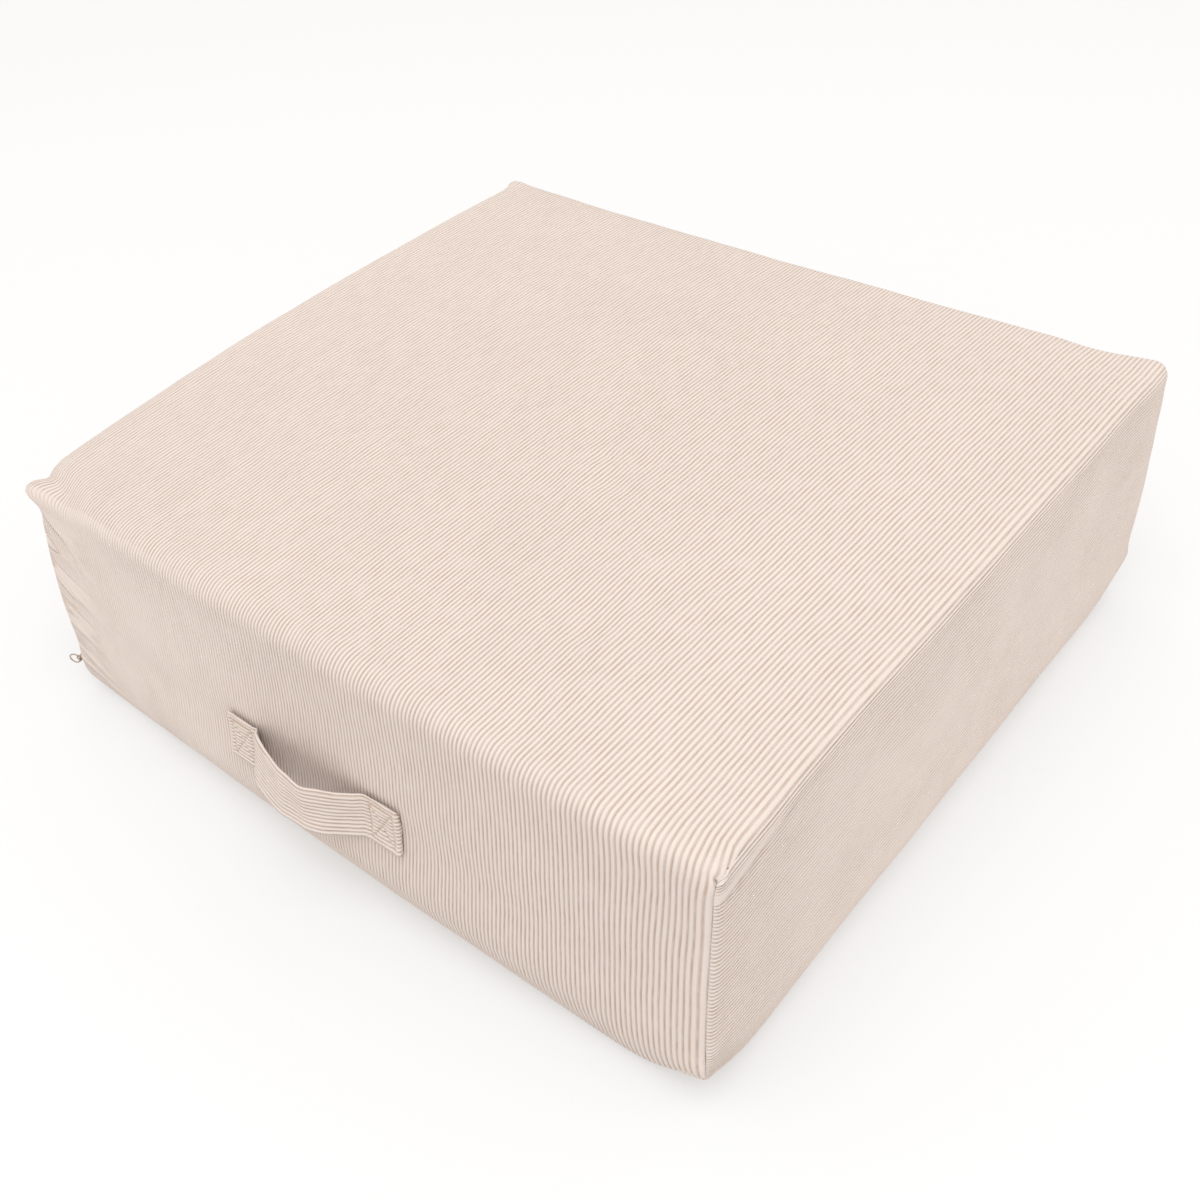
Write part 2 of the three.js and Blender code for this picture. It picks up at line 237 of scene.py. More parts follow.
def stuffed(x, y, z):
    """Points of the sharp box, moved to where the stuffed cover holds them."""
    on = rolled(x, y, z)
    x, y, z = on[:, 0], on[:, 1], on[:, 2]
    u, v = x / HALF_X, y / HALF_Y
    mid_x, mid_y = np.maximum(1 - u**2, 0), np.maximum(1 - v**2, 0)
    out_x = np.where(u > 0, swell_of("right", z), swell_of("left", z))
    out_y = np.where(v > 0, swell_of("back", z), swell_of("front", z))
    rise = CROWN * mid_x * mid_y
    rise += LEFT_RISE * np.maximum(-u, 0) ** 2 * mid_y + BACK_RISE * np.maximum(v, 0) ** 2 * mid_x
    moved = on.copy()
    moved[:, 0] += np.sign(u) * np.minimum(np.abs(u), 1) ** 4 * out_x * mid_y
    moved[:, 1] += np.sign(v) * np.minimum(np.abs(v), 1) ** 4 * out_y * mid_x
    moved[:, 2] += rise * ramp((z / HEIGHT - 0.4) / 0.6)
    hold = ramp((z - HEIGHT + EAR_DEPTH) / EAR_DEPTH)
    for share, corner in zip(corner_shares(x, y), CORNERS):
        from_x, from_y = x - corner["x"] * HALF_X, y - corner["y"] * HALF_Y
        plan = np.hypot(from_x, from_y)
        away = np.hypot(from_x / corner["reach"][0], from_y / corner["reach"][1])
        near = np.maximum(np.exp(-(away**2)) - 0.002, 0)
        around = np.exp(-((away - 1.7) ** 2) * 2.2)
        ear = ramp((z - HEIGHT + EAR_TALL) / EAR_TALL) * near
        belly = np.maximum(1 - ((z - 110) / 90) ** 2, 0) ** 2 * share
        shoulder = ramp((z - 15) / 180) * np.exp(-((plan / SHOULDER_REACH) ** 2))
        foot = ramp((FOOT - z) / FOOT) * np.maximum(np.exp(-((plan / FOOT_REACH) ** 2)) - 0.002, 0)
        for axis, side in enumerate(("x", "y")):
            moved[:, axis] += corner["move"][axis] * share + corner["ear"][axis] * ear
            moved[:, axis] += corner["belly"][axis] * belly + corner["shoulder"][axis] * shoulder
            moved[:, axis] += corner[side] * corner["spread"] * foot
        moved[:, 2] += corner["rise"] * share * ramp(z / HEIGHT) + corner["lift"] * foot
        moved[:, 2] += (corner["ear"][2] * near - corner["dip"] * around) * hold
    return moved


def undulation(x, y, size, seed):
    """A smooth random height between -1 and 1, with hills about one `size` apart."""
    table = np.random.RandomState(seed).uniform(-1, 1, (64, 64))
    across, along = x / size + 500.37, y / size + 500.71
    i, j = np.floor(across).astype(int), np.floor(along).astype(int)
    a, b = ramp(across - i), ramp(along - j)
    near = table[i % 64, j % 64] * (1 - a) + table[(i + 1) % 64, j % 64] * a
    far = table[i % 64, (j + 1) % 64] * (1 - a) + table[(i + 1) % 64, (j + 1) % 64] * a
    return near * (1 - b) + far * b


def hills(x, y, kinds):
    """The sum of several kinds of smooth random heights, each as (rise, size, seed)."""
    return sum(rise * undulation(x, y, size, seed) for rise, size, seed in kinds)


def unrolled(half):
    """Measures the cloth over one edge, from the middle of the top to under the base.

    Gives the length of cloth used, the sharp box's coordinate and height there, and the length
    used up to the edge.
    """
    face, under = 900, 300
    place = [np.linspace(0, half, face), np.full(face, half), np.linspace(half, half - 60, under)]
    height = [np.full(face, HEIGHT), np.linspace(HEIGHT, 0, face), np.zeros(under)]
    place, height = np.concatenate(place), np.concatenate(height)
    radius = rounding(EDGE_ROUND, height)
    upright = np.clip(height, BASE_ROLL, HEIGHT - TOP_ROLL)
    core = np.stack([np.minimum(place, half - radius), upright], -1)
    radii = np.stack([radius, np.where(height < HEIGHT / 2, BASE_ROLL, TOP_ROLL)], -1)
    at = pushed(np.stack([place, height], -1), core, radii)
    used = np.concatenate([[0], np.cumsum(np.linalg.norm(np.diff(at, axis=0), axis=1))])
    return used, place, height, used[face - 1]


ACROSS = unrolled(HALF_X)
ALONG = unrolled(HALF_Y)
FOLD_X = ACROSS[3]
FOLD_Y = ALONG[3]


def wale_lines():
    """Every column of the cloth: its place in wales, and its length of cloth from the middle."""
    wales = np.add.outer(np.arange(-SIDE_WALES, TOP_WALES + SIDE_WALES), WALE_AT).ravel()
    wales = np.append(wales, TOP_WALES + SIDE_WALES)
    cloth = np.linspace(-FOLD_X, FOLD_X, 4000)
    pitch = 3.0 + 0.42 * ramp((cloth - 40) / 250)
    count = np.concatenate([[0], np.cumsum(np.diff(cloth) / pitch[1:])])
    count *= TOP_WALES / count[-1]
    lines = np.interp(wales, count, cloth)
    lines = np.where(wales < 0, -FOLD_X + wales * SIDE_PITCH, lines)
    return wales, np.where(wales > TOP_WALES, FOLD_X + (wales - TOP_WALES) * SIDE_PITCH, lines)


def row_lines():
    """Every row: its length of cloth from the middle. They are closest together at the edges."""
    near = np.array([0, 1.1, 2.6, 5, 8.5, 13, 19, 27, 38])
    far = np.array([0, 1.1, 3, 7, 14, 24, 38])
    front = FOLD_Y - np.concatenate([near, np.linspace(38, FOLD_Y, 21)[1:]])
    back = FOLD_Y - np.concatenate([far, np.linspace(38, FOLD_Y, 15)[1:-1]])
    under = FOLD_Y + SIDE_WALES * SIDE_PITCH
    down = np.array([1.2, 3, 5.5, 9, 14, 22, 33, *range(46, 164, 13), 175, 185, 194, 203, 212])
    rear = np.array([2, 6, 12, 24, 50, 85, 120, 155, 180, 200, 213])
    rows = [[-under], -(FOLD_Y + down[::-1]), -front, back[::-1], FOLD_Y + rear, [under]]
    return np.concatenate(rows)


def fold_rows(rows):
    """The rows that lie along the front and the back edge."""
    return int(np.argmin(np.abs(rows + FOLD_Y))), int(np.argmin(np.abs(rows - FOLD_Y)))


def flat_grid(columns, rows):
    """A flat grid, with the column and the row of each of its vertices."""
    bm = bmesh.new()
    bmesh.ops.create_grid(bm, x_segments=columns - 1, y_segments=rows - 1, size=0.5)
    share = np.array([vert.co[:2] for vert in bm.verts]) + 0.5
    column, row = (share * (columns - 1, rows - 1)).round().astype(int).T
    return bm, column, row


def cloth_grid():
    """The cross that the cover is cut from, as a flat grid: one column to each sample of a wale."""
    wales, lines = wale_lines()
    rows = row_lines()
    bm, column, row = flat_grid(len(lines), len(rows))
    front, back = fold_rows(rows)
    beside = (column < FIRST_COLUMN) | (column > LAST_COLUMN)
    off_cross = beside & ((row < front) | (row > back))
    corners = [vert for vert, off in zip(bm.verts, off_cross) if off]
    bmesh.ops.delete(bm, geom=corners, context="VERTS")
    # A copy has no gaps left by the deleted vertices, so vertices made later come after these.
    cross = bm.copy()
    bm.free()
    cross.verts.index_update()
    return cross, np.stack([column, row], 1)[~off_cross], wales, lines, rows


class Panel:
    """Where every vertex of the cover lies: on the cloth, and on the sharp box."""

    def __init__(self, places, wales, lines, rows):
        column, row = places[:, 0].astype(int), places[:, 1].astype(int)
        self.wale = wales[column]
        self.across, self.along = lines[column], rows[row]
        self.rib = np.array(WALE_RISE)[column % len(WALE_AT)]
        self.side = np.abs(self.across) - FOLD_X
        self.end = np.abs(self.along) - FOLD_Y
        self.on_side = self.side > 1e-6
        self.on_end = self.end > 1e-6
        self.down = np.maximum(np.maximum(self.side, self.end), 0)

    def ease(self):
        """Shifts the cloth along itself: wales wander, and gather into the corner seams."""
        across, along = self.across.copy(), self.along.copy()
        inside = ramp((FOLD_X - np.abs(across)) / 12)
        wander = hills(across, along, WANDER)
        kinked = ramp((undulation(across, along, 80, 6) - 0.05) / 0.5)
        wander += 0.75 * undulation(across * 0.8, along, 13, 5) * kinked
        across += wander * np.where(self.on_side, ramp(self.side / 10), inside)
        # The last wales of the front spread, and two and a half of them go into the seam.
        lag = np.clip((across - FOLD_X + SPREAD_REACH) / SPREAD_REACH, 0, 1)
        front = ramp((-along - FOLD_Y + 24) / 34) * (~self.on_side)
        across += SPREAD * lag**3 * front
        limit = FOLD_X - SEAM_GAP * ramp(self.down / 3) * self.on_end
        self.tuck = np.where(self.on_end, np.maximum(np.abs(across) - limit, 0), 0)
        across = np.where(self.on_end, np.clip(across, -limit, limit), across)
        # On the sides the wales climb as they meet the seams.
        seam = np.maximum(FOLD_Y - np.abs(along), 0)
        above_base = ramp((205 - self.side) / 60)
        climb = sum(rise * np.exp(-seam / reach) for rise, reach in CLIMB)
        climb *= ramp(self.side / 55) * above_base
        gather = GATHER * (0.35 + 0.65 * ramp(seam / 60)) * ramp(self.side / 18) * above_base
        across = np.where(self.on_side, across - np.sign(across) * (climb + gather), across)
        limit = FOLD_Y - SEAM_GAP * ramp(self.down / 3)
        along = np.where(self.on_side, np.clip(along, -limit, limit), along)
        self.eased_across, self.eased_along = across, along
        self.seam = np.where(self.on_end, FOLD_X - np.abs(across), NO_SEAM)
        self.seam = np.where(self.on_side, FOLD_Y - np.abs(along), self.seam)

    def on_box(self):
        """The sharp box's point for every vertex."""
        places, heights = [], []
        for cloth, fold in ((self.eased_across, ACROSS), (self.eased_along, ALONG)):
            used, place, height, _ = fold
            places.append(np.sign(cloth) * np.interp(np.abs(cloth), used, place))
            heights.append(np.interp(np.abs(cloth), used, height))
        return *places, np.minimum(*heights)


def set_verts(bm, at):
    for vert, point in zip(bm.verts, at):
        vert.co = point


def close_tube(bm):
    """Joins the long edges of a grid that is bent round, and closes its ends."""
    bmesh.ops.remove_doubles(bm, verts=bm.verts, dist=1e-6)
    ends = [edge for edge in bm.edges if edge.is_boundary]
    bmesh.ops.holes_fill(bm, edges=ends, sides=0)
    bmesh.ops.recalc_face_normals(bm, faces=bm.faces)


def add_bead(bm, at, turn, size, around, along):
    """Adds a small ellipsoid; its half sizes are in millimetres."""
    sizes = Matrix.Diagonal((*(half * MM for half in size), 1.0))
    matrix = Matrix.Translation(at) @ turn.to_4x4() @ sizes
    bmesh.ops.create_uvsphere(bm, u_segments=around, v_segments=along, radius=1.0, matrix=matrix)


def made_mesh(bm, name):
    """A mesh made from a bmesh, which is freed."""
    mesh = bpy.data.meshes.new(name)
    bm.to_mesh(mesh)
    bm.free()
    return mesh


def place_verts(mesh, at):
    mesh.vertices.foreach_set("co", np.ascontiguousarray(at, dtype=np.float32).ravel())
    mesh.update()


def vectors_of(mesh, kind):
    """The places ("co") or the normals ("normal") of a mesh's vertices."""
    out = np.empty(len(mesh.vertices) * 3, np.float32)
    mesh.vertices.foreach_get(kind, out)
    return out.reshape(-1, 3).astype(float)


def point_values(mesh, **kinds):
    """Keeps a number of each kind for each vertex, for a material to read."""
    for name, values in kinds.items():
        layer = mesh.attributes.new(name, "FLOAT", "POINT")
        layer.data.foreach_set("value", np.asarray(values, np.float32))


def cloth_map(mesh, across, along):
    """The UV map that a cloth's wales follow: wales across, metres along."""
    layer = mesh.uv_layers.new(name="cloth")
    corner = np.empty(len(mesh.loops), np.int32)
    mesh.loops.foreach_get("vertex_index", corner)
    places = np.stack([across, along], 1)[corner]
    layer.data.foreach_set("uv", places.astype(np.float32).ravel())


def placed(name, data):
    """An object with this data, in the scene."""
    made = bpy.data.objects.new(name, data)
    bpy.context.scene.collection.objects.link(made)
    return made


def new_piece(mesh, material):
    """A finished mesh as an object that stands at the origin, moving with the cushion."""
    piece = placed(mesh.name, mesh)
    mesh.materials.append(material)
    mesh.polygons.foreach_set("use_smooth", np.ones(len(mesh.polygons), bool))
    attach(piece, "root")
    return piece


class Socket:
    """One output of a material's nodes. Sums and products of it add their Math nodes."""

    def __init__(self, tree, output):
        self.tree = tree
        self.output = output

    def node(self, kind, settings, inputs, output=0):
        """Adds a node: its settings first, then the values or links of its sockets."""
        made = self.tree.nodes.new(kind)
        for name, value in settings.items():
            setattr(made, name, value)
        for name, value in inputs.items():
            if isinstance(value, Socket):
                self.tree.links.new(value.output, made.inputs[name])
            else:
                made.inputs[name].default_value = value
        return Socket(self.tree, made.outputs[output])

    def math(self, operation, first, second=0.0):
        return self.node("ShaderNodeMath", {"operation": operation}, {0: first, 1: second})

    def size(self):
        """Its distance from 0."""
        return self.math("ABSOLUTE", self)

    def __add__(self, other):
        return self.math("ADD", self, other)

    __radd__ = __add__

    def __mul__(self, other):
        return self.math("MULTIPLY", self, other)

    def __sub__(self, other):
        return self.math("SUBTRACT", self, other)

    def __rsub__(self, other):
        return self.math("SUBTRACT", other, self)

    def fold(self, half):
        """Runs up to half, back to 0, and up again."""
        return self.math("PINGPONG", self, half)

    def ease(self, low, high):
        """An eased step from 0 at low to 1 at high."""
        settings = {"interpolation_type": "SMOOTHSTEP"}
        inputs = {"Value": self, "From Min": low, "From Max": high}
        return self.node("ShaderNodeMapRange", settings, inputs)

    def blend(self, first, second):
        """One colour where this is 0, the other where it is 1."""
        settings = {"data_type": "RGBA", "clamp_factor": True}
        return self.node("ShaderNodeMix", settings, {0: self, 6: first, 7: second}, 2)

    def split(self):
        """Its X, Y and Z."""
        parts = self.node("ShaderNodeSeparateXYZ", {}, {0: self})
        return [Socket(self.tree, output) for output in parts.output.node.outputs]

    def join(self, x, y, z):
        return self.node("ShaderNodeCombineXYZ", {}, {0: x, 1: y, 2: z})

    def noise(self, vector, scale, detail, rough=0.5):
        inputs = {"Vector": vector, "Scale": scale, "Detail": detail, "Roughness": rough}
        return self.node("ShaderNodeTexNoise", {}, inputs)


class Finish:
    """A material: its shader's plain values first, then links to the sockets that vary."""

    def __init__(self, name, **values):
        self.material = bpy.data.materials.new(name)
        self.material.use_nodes = True
        self.tree = self.material.node_tree
        self.shader = self.tree.nodes["Principled BSDF"]
        for socket, value in values.items():
            self.shader.inputs[socket.replace("_", " ")].default_value = value
        self.start = Socket(self.tree, None)
        self.place = self.start.node("ShaderNodeTexCoord", {}, {}, "Object")

    def grain(self, scale, detail=2.0, rough=0.5):
        """Noise that is set in the piece."""
        return self.start.noise(self.place, scale, detail, rough)

    def link(self, socket, value):
        self.tree.links.new(value.output, self.shader.inputs[socket])

    def bump(self, height, distance, strength=1.0):
        inputs = {"Height": height, "Distance": distance, "Strength": strength}
        self.link("Normal", self.start.node("ShaderNodeBump", {}, inputs))


def colour(value, share=1.0):
    """A colour for a socket, made darker or lighter by a share."""
    return (*(min(c * share, 1.0) for c in value[:3]), 1.0)


def corduroy(name, crest, groove):
    """Cotton corduroy: pale pile on the wales, the darker ground and painted shade in the grooves
    between.

    The mesh says how deep its grooves are (wale), where it lies in a hollow, which is painted
    darker as shade, and where the cloth is creased by a seam, whose folds are painted lighter and
    darker.
    """
    finish = Finish(
        name, Roughness=0.92, Sheen_Weight=0.08, Sheen_Roughness=0.5, Specular_IOR_Level=0.15
    )
    start = finish.start
    across, along, _ = start.node("ShaderNodeUVMap", {"uv_map": "cloth"}, {}).split()
    depth, shade, creased = (
        start.node("ShaderNodeAttribute", {"attribute_name": kept}, {}, "Fac")
        for kept in ("wale", "hollow", "crease")
    )
    near = creased.ease(0.1, 0.6)
    # The ground shows between the wales, more in some places than in others. Its darker colour is
    # partly the ground's own and partly painted shade in the grooves.
    wander = finish.grain(130.0)
    crossed = (across + (wander - 0.5) * 0.06).fold(0.5)
    streak = start.noise(start.join(across * 0.9, along * 60.0, 0.0), 1.0, 2.0)
    ground_and_groove_shade = (1 - crossed.ease(0.02, 0.27)) * depth * (0.62 + streak.ease(0.3, 0.7) * 0.6)
    # The pile: fine threads along the wales, broad patches, and small kinks.
    pile = start.noise(start.join(across * 2.6, along * 420.0, 0.0), 1.0, 3.0, 0.6)
    patch = finish.grain(16.0)
    kink = finish.grain(75.0, 3.0, 0.55)
    # Creased cloth has slanting folds, each with a line along its foot. The folds are bumped and
    # also painted lighter and darker, and the line is a dent and also painted shade.
    level, _, tall = finish.place.split()
    slant = start.join(level * 14.0, 0.0, (tall + level * 0.3) * 70.0)
    folds = start.noise(slant, 1.0, 1.0)
    line = (1 - (folds - 0.5).size().ease(0.0, 0.04)) * near
    tone = (pile - 0.5) * 0.3 + (patch - 0.5) * 0.25 + (kink - 0.5) * (near * 0.5 + 0.22)
    # Painted light and shade on the sides of the folds.
    tone += (folds - 0.5) * near * 2.0
    face = (tone + 0.5).blend(colour(crest, 0.86), colour(crest, 1.1))
    grooved = (ground_and_groove_shade * 0.72 + line * 0.3).blend(face, colour(groove))
    # Painted shade: the colour turns towards a darker ground where the mesh marks a hollow.
    finish.link("Base Color", shade.blend(grooved, colour(groove, 0.5)))
    finish.link("Roughness", 0.84 + pile * 0.14)
    height = pile * 0.14 + kink * (near * 0.3 + 0.08) + crossed.ease(0.0, 0.3) * depth * 0.45
    finish.bump(height + folds.ease(0.3, 0.7) * near * 1.6 - line * 0.6, 0.0011)
    return finish.material


def thread_finish(name, tint):
    """Matt sewing thread, twisted."""
    finish = Finish(name, Roughness=0.75, Sheen_Weight=0.1, Specular_IOR_Level=0.25)
    twist = finish.grain(2600.0)
    finish.link("Base Color", twist.blend(colour(tint, 0.86), colour(tint)))
    finish.bump(twist, 0.0002, 0.6)
    return finish.material


def tape_finish(name, tint):
    """Woven zip tape, close and matt."""
    finish = Finish(name, Roughness=0.82, Sheen_Weight=0.08, Specular_IOR_Level=0.25)
    weave = finish.grain(1500.0)
    broad = finish.grain(60.0)
    tone = weave * 0.7 + broad * 0.3
    finish.link("Base Color", tone.blend(colour(tint, 0.8), colour(tint)))
    finish.link("Roughness", 0.74 + weave * 0.16)
    finish.bump(weave, 0.0003, 0.7)
    return finish.material


def metal_finish(name, tint):
    """Nickel with a warm cast, dulled by handling."""
    finish = Finish(name, Metallic=0.35, Roughness=0.4)
    worn = finish.grain(420.0, 3.0, 0.6)
    fine = finish.grain(2400.0)
    finish.link("Base Color", worn.ease(0.25, 0.75).blend(colour(tint, 0.78), colour(tint)))
    finish.link("Roughness", 0.3 + worn * 0.25)
    finish.bump(fine * 0.5 + worn, 0.00008, 0.5)
    return finish.material


def floor_finish(name, tint):
    """A white floor that glows a little, as if lit from below as well, so that shadows on it stay
    light.
    """
    # Painted light: the floor glows, which lifts the shadows on it.
    finish = Finish(name, Roughness=0.9, Specular_IOR_Level=0.1, Emission_Strength=0.38)
    faint = finish.grain(3.0)
    finish.link("Base Color", faint.blend(colour(tint), colour(tint, 0.995)))
    return finish.material


class CoverSettings(bpy.types.PropertyGroup):
    wale_rise: FloatProperty(
        name="Wale height", description="Height of a wale over the groove beside it",
        default=0.0008, min=0.0, max=0.0016, unit="LENGTH", subtype="DISTANCE",
    )
    crest: FloatVectorProperty(
        name="Pile", description="Colour of the pile on a wale",
        default=(0.692, 0.602, 0.545), subtype="COLOR", size=3, min=0.0, max=1.0,
    )
    # Partly the ground's own colour and partly painted shade in the grooves between wales.
    groove: FloatVectorProperty(
        name="Ground", description="Colour of the ground between wales",
        default=(0.43, 0.302, 0.222), subtype="COLOR", size=3, min=0.0, max=1.0,
    )
    fill: FloatProperty(
        name="Fill", description="How tightly the cover is filled", default=0.95, min=0.0, max=1.0
    )


class HandleSettings(bpy.types.PropertyGroup):
    stitch: FloatProperty(
        name="Stitch", description="Length of one stitch",
        default=0.0026, min=0.001, max=0.006, unit="LENGTH", subtype="DISTANCE",
    )
    thread: FloatVectorProperty(
        name="Thread", description="Colour of the sewing thread",
        default=(0.62, 0.5, 0.41), subtype="COLOR", size=3, min=0.0, max=1.0,
    )


class ZipSettings(bpy.types.PropertyGroup):
    tooth_pitch: FloatProperty(
        name="Tooth pitch", description="Distance from one turn of the coil to the next",
        default=0.0015, min=0.001, max=0.004, unit="LENGTH", subtype="DISTANCE",
    )
    tape: FloatVectorProperty(
        name="Tape", description="Colour of the zip tape",
        default=(0.68, 0.55, 0.45), subtype="COLOR", size=3, min=0.0, max=1.0,
    )
    metal: FloatVectorProperty(
        name="Metal", description="Colour of the slider and its pull",
        default=(0.46, 0.365, 0.3), subtype="COLOR", size=3, min=0.0, max=1.0,
    )


class StageSettings(bpy.types.PropertyGroup):
    floor: FloatVectorProperty(
        name="Floor", description="Colour of the floor",
        default=(0.46, 0.46, 0.46), subtype="COLOR", size=3, min=0.0, max=1.0,
    )
    sky: FloatProperty(
        name="Surround", description="Strength of the light from all round", default=0.98, min=0.0
    )
    lamp: FloatProperty(
        name="Lamp", description="Power of the overhead soft box",
        default=136.0, min=0.0, subtype="POWER", unit="POWER",
    )
    lens: FloatProperty(
        name="Lens", description="Focal length of the camera",
        default=42.859, min=10.0, subtype="DISTANCE_CAMERA",
    )


class CUSHION_OT_stage(bpy.types.Operator):
    """Add the camera, the floor and the soft light"""

    bl_idname = "cushion.stage"
    bl_label = "Studio"

    def execute(self, context):
        settings = context.scene.cushion_stage
        camera = placed("camera", bpy.data.cameras.new("camera"))
        camera.data.lens = settings.lens
        camera.data.sensor_width = 36.0
        camera.data.shift_x = 0.03064
        camera.data.shift_y = -0.01641
        camera.data.clip_start = 0.02
        right = Vector((0.76411553, 0.64205126, -0.06243107))
        up = Vector((-0.36920279, 0.51464036, 0.77384404))
        back = Vector((0.52897708, -0.56825653, 0.63029181))
        turn = Matrix((right, up, back)).transposed().to_4x4()
        camera.matrix_world = Matrix.Translation((0.5601175, -0.6413951, 0.7581552)) @ turn
        context.scene.camera = camera

        bm = bmesh.new()
        bmesh.ops.create_grid(bm, x_segments=8, y_segments=8, size=8.0)
        floor = placed("floor", made_mesh(bm, "floor"))
        floor.data.materials.append(floor_finish("floor_paint_and_glow", settings.floor))

        world = bpy.data.worlds.new("surround")
        context.scene.world = world
        world.use_nodes = True
        light = world.node_tree.nodes["Background"].inputs
        light["Color"].default_value = (1.045, 0.995, 0.95, 1.0)
        light["Strength"].default_value = settings.sky

        lamp = bpy.data.lights.new("soft_box", "AREA")
        lamp.shape = "RECTANGLE"
        lamp.size, lamp.size_y = 4.4, 4.0
        lamp.energy = settings.lamp
        lamp.color = (0.91, 1.0, 1.09)
        soft_box = placed("soft_box", lamp)
        soft_box.location = (1.2, -1.6, 4.6)
        aim = Vector((0, 0, 0.1)) - soft_box.location
        soft_box.rotation_euler = aim.to_track_quat("-Z", "Y").to_euler()
        context.scene.view_settings.view_transform = "Standard"
        return {"FINISHED"}


def seam_bridges(bm, rows, places):
    """Sews each end panel to its side panel, at the four upright corners."""
    front, back = fold_rows(rows)
    for column, right in ((FIRST_COLUMN, -1), (LAST_COLUMN, 1)):
        for row, rear in ((front, -1), (back, 1)):
            tip, chains = [], []
            for edge in bm.edges:
                if not edge.is_boundary:
                    continue
                a, b = (places[v.index] for v in edge.verts)
                on_column, on_row = a[0] == b[0] == column, a[1] == b[1] == row
                if (a == (column, row)).all() or (b == (column, row)).all():
                    if on_column or on_row:
                        tip.append(edge)
                    continue
                past_row = (a[1] + b[1] - 2 * row) * rear > 0
                past_column = (a[0] + b[0] - 2 * column) * right > 0
                if (on_column and past_row) or (on_row and past_column):
                    chains.append(edge)
            bmesh.ops.bridge_loops(bm, edges=chains)
            corner = {vert for edge in tip for vert in edge.verts}
            bmesh.ops.contextual_create(bm, geom=list(corner))


def base_panel(bm):
    """The flat panel under the cushion, with the seam that holds it."""
    ring = [edge for edge in bm.edges if edge.is_boundary]
    for drop, inwards in ((0.0012, 0.9945), (-0.0010, 0.9945), (-0.0002, 0.975)):
        made = bmesh.ops.extrude_edge_only(bm, edges=ring)["geom"]
        verts = [item for item in made if isinstance(item, bmesh.types.BMVert)]
        bmesh.ops.scale(bm, verts=verts, vec=(inwards, inwards, 1.0))
        bmesh.ops.translate(bm, verts=verts, vec=(0, 0, drop))
        ring = [item for item in made if isinstance(item, bmesh.types.BMEdge)]
    bmesh.ops.contextual_create(bm, geom=ring)


